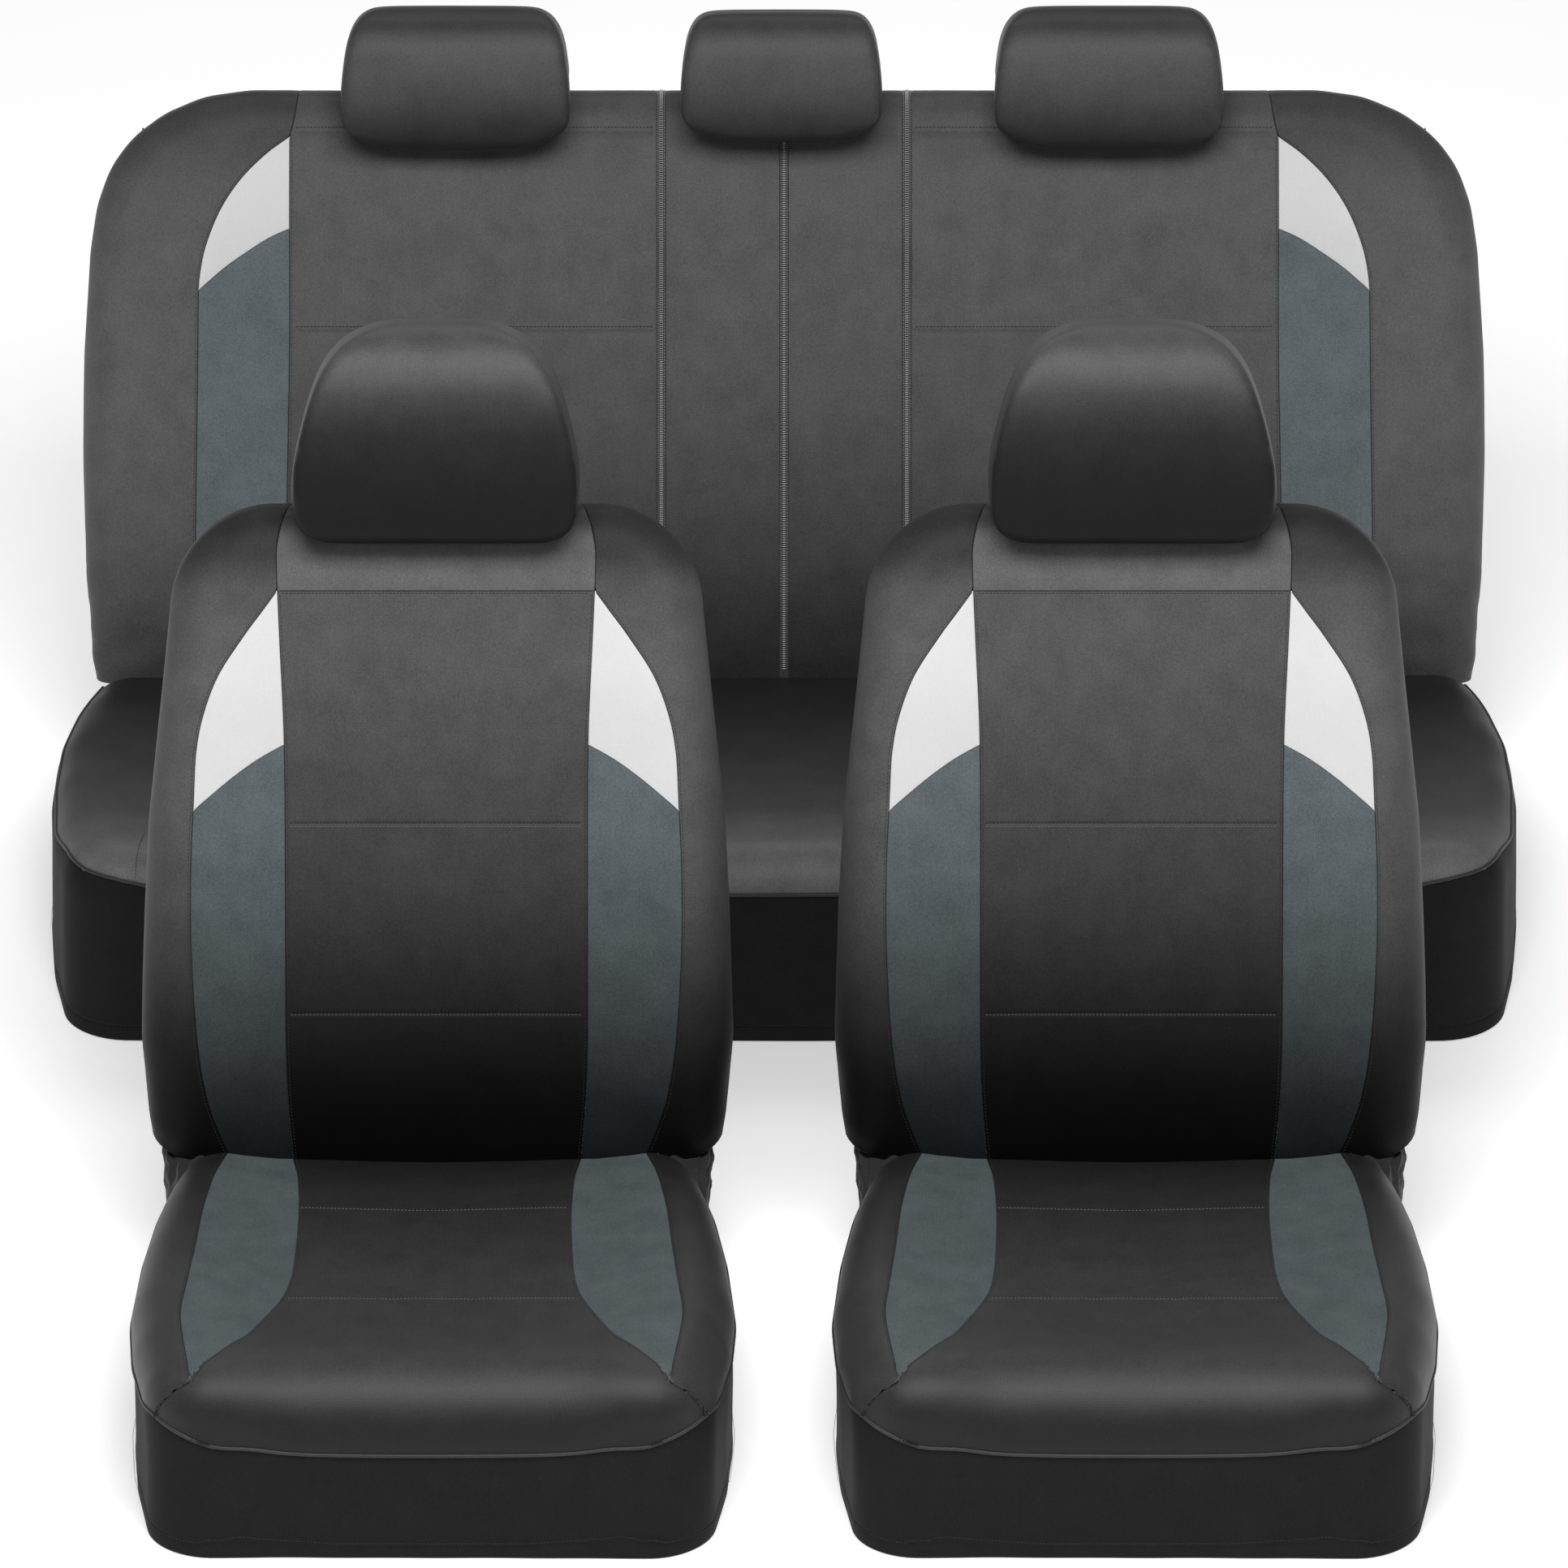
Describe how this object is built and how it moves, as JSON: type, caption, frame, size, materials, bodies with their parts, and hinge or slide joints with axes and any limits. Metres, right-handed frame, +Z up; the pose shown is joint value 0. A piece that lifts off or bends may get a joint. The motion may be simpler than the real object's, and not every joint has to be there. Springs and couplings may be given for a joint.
{
  "type": "car seat cover set",
  "caption": "Fitted fabric covers for two front bucket seats, a split rear bench and their headrests, hollow and open underneath, with zips, tuck flaps, straps and hooks.",
  "frame": {"origin": "centre of the whole set's bounding box, at floor level", "axes": "+X to the right seen from the front, +Y rearwards from the front covers to the bench cover, +Z up; the hems stand on Z = 0"},
  "size_m": [1.3932, 1.7632, 0.8774],
  "materials": {
    "cover_charcoal": "satin",
    "insert_grey": "matte",
    "accent_white": "satin",
    "zip_metal": "gloss",
    "zip_tape": "matte",
    "hook_steel": "satin",
    "buckle_plastic": "matte",
    "webbing": "matte",
    "backing_knit": "matte",
    "elastic": "matte"
  },
  "bodies": {
    "cushions": {"bench_cushion_skirt": "cover_charcoal", "bench_cushion_top_panel": "cover_charcoal", "bench_tuck_flap": "backing_knit", "buckle_receivers": "buckle_plastic", "left_front_crease_gussets": "cover_charcoal", "left_front_cushion_bolsters": "cover_charcoal", "left_front_cushion_centre_panel": "cover_charcoal", "left_front_cushion_grey_inserts": "insert_grey", "left_front_cushion_skirt": "cover_charcoal", "left_front_tuck_flap": "backing_knit", "right_front_crease_gussets": "cover_charcoal", "right_front_cushion_bolsters": "cover_charcoal", "right_front_cushion_centre_panel": "cover_charcoal", "right_front_cushion_grey_inserts": "insert_grey", "right_front_cushion_skirt": "cover_charcoal", "right_front_tuck_flap": "backing_knit", "strap_hooks": "hook_steel", "under_seat_straps": "webbing"},
    "bench_centre_headrest": {"bench_centre_headrest_cover": "cover_charcoal"},
    "bench_centre_section": {"bench_centre_panels": "cover_charcoal", "bench_centre_rear_flap": "backing_knit", "bench_centre_zip": "zip_tape", "bench_centre_zip_halves": "zip_tape"},
    "bench_left_section": {"bench_left_bolster": "cover_charcoal", "bench_left_grey_insert": "insert_grey", "bench_left_main_panel": "cover_charcoal", "bench_left_rear_flap": "backing_knit", "bench_left_white_accent": "accent_white", "bench_left_zip_half": "zip_tape"},
    "bench_left_headrest": {"bench_left_headrest_cover": "cover_charcoal"},
    "bench_right_section": {"bench_right_bolster": "cover_charcoal", "bench_right_grey_insert": "insert_grey", "bench_right_main_panel": "cover_charcoal", "bench_right_rear_flap": "backing_knit", "bench_right_white_accent": "accent_white", "bench_right_zip_half": "zip_tape"},
    "bench_right_headrest": {"bench_right_headrest_cover": "cover_charcoal"},
    "bench_zip_slider_left": {"bench_zip_slider_left": "zip_metal"},
    "bench_zip_slider_middle": {"bench_zip_slider_middle": "zip_metal"},
    "bench_zip_slider_right": {"bench_zip_slider_right": "zip_metal"},
    "left_front_back": {"left_front_back_bolsters": "cover_charcoal", "left_front_back_centre_panel": "cover_charcoal", "left_front_back_grey_inserts": "insert_grey", "left_front_back_rear_panel": "backing_knit", "left_front_back_white_accents": "accent_white", "left_front_back_yoke": "cover_charcoal"},
    "left_front_buckle_tongue": {"left_front_buckle_tongue": "buckle_plastic"},
    "left_front_headrest": {"left_front_headrest_cover": "cover_charcoal", "left_front_headrest_hem": "elastic"},
    "right_front_back": {"right_front_back_bolsters": "cover_charcoal", "right_front_back_centre_panel": "cover_charcoal", "right_front_back_grey_inserts": "insert_grey", "right_front_back_rear_panel": "backing_knit", "right_front_back_white_accents": "accent_white", "right_front_back_yoke": "cover_charcoal"},
    "right_front_buckle_tongue": {"right_front_buckle_tongue": "buckle_plastic"},
    "right_front_headrest": {"right_front_headrest_cover": "cover_charcoal", "right_front_headrest_hem": "elastic"}
  },
  "joints": [
    {"name": "left_front_recline", "type": "hinge", "parent": "cushions", "child": "left_front_back", "pos_m": [-0.32, -0.39761, 0.156], "axis": [1, 0, 0], "range_deg": [-10, 20], "deforming": ["left_front_crease_gussets"]},
    {"name": "left_front_headrest_lift", "type": "slide", "parent": "left_front_back", "child": "left_front_headrest", "axis": [0, 0.342, 0.9397], "range_m": [0, 0.07]},
    {"name": "left_front_buckle_release", "type": "slide", "parent": "cushions", "child": "left_front_buckle_tongue", "axis": [0, 1, 0], "range_m": [0, 0.03]},
    {"name": "right_front_recline", "type": "hinge", "parent": "cushions", "child": "right_front_back", "pos_m": [0.32, -0.39761, 0.156], "axis": [1, 0, 0], "range_deg": [-10, 20], "deforming": ["right_front_crease_gussets"]},
    {"name": "right_front_headrest_lift", "type": "slide", "parent": "right_front_back", "child": "right_front_headrest", "axis": [0, 0.342, 0.9397], "range_m": [0, 0.07]},
    {"name": "right_front_buckle_release", "type": "slide", "parent": "cushions", "child": "right_front_buckle_tongue", "axis": [0, 1, 0], "range_m": [0, 0.03]},
    {"name": "bench_left_fold", "type": "hinge", "parent": "cushions", "child": "bench_left_section", "pos_m": [-0.395, 0.58839, 0.142], "axis": [1, 0, 0], "range_deg": [0, 75]},
    {"name": "bench_left_headrest_lift", "type": "slide", "parent": "bench_left_section", "child": "bench_left_headrest", "axis": [0, 0.3746, 0.9272], "range_m": [0, 0.07]},
    {"name": "bench_centre_fold", "type": "hinge", "parent": "cushions", "child": "bench_centre_section", "pos_m": [0, 0.58839, 0.142], "axis": [1, 0, 0], "range_deg": [0, 75]},
    {"name": "bench_centre_headrest_lift", "type": "slide", "parent": "bench_centre_section", "child": "bench_centre_headrest", "axis": [0, 0.3746, 0.9272], "range_m": [0, 0.07]},
    {"name": "bench_right_fold", "type": "hinge", "parent": "cushions", "child": "bench_right_section", "pos_m": [0.395, 0.58839, 0.142], "axis": [1, 0, 0], "range_deg": [0, 75]},
    {"name": "bench_right_headrest_lift", "type": "slide", "parent": "bench_right_section", "child": "bench_right_headrest", "axis": [0, 0.3746, 0.9272], "range_m": [0, 0.07]},
    {"name": "bench_zip_left_run", "type": "slide", "parent": "bench_centre_section", "child": "bench_zip_slider_left", "axis": [0, 0.3746, 0.9272], "range_m": [0, 0.17]},
    {"name": "bench_zip_middle_run", "type": "slide", "parent": "bench_centre_section", "child": "bench_zip_slider_middle", "axis": [0, 0.3746, 0.9272], "range_m": [0, 0.17]},
    {"name": "bench_zip_right_run", "type": "slide", "parent": "bench_centre_section", "child": "bench_zip_slider_right", "axis": [0, 0.3746, 0.9272], "range_m": [0, 0.17]}
  ]
}
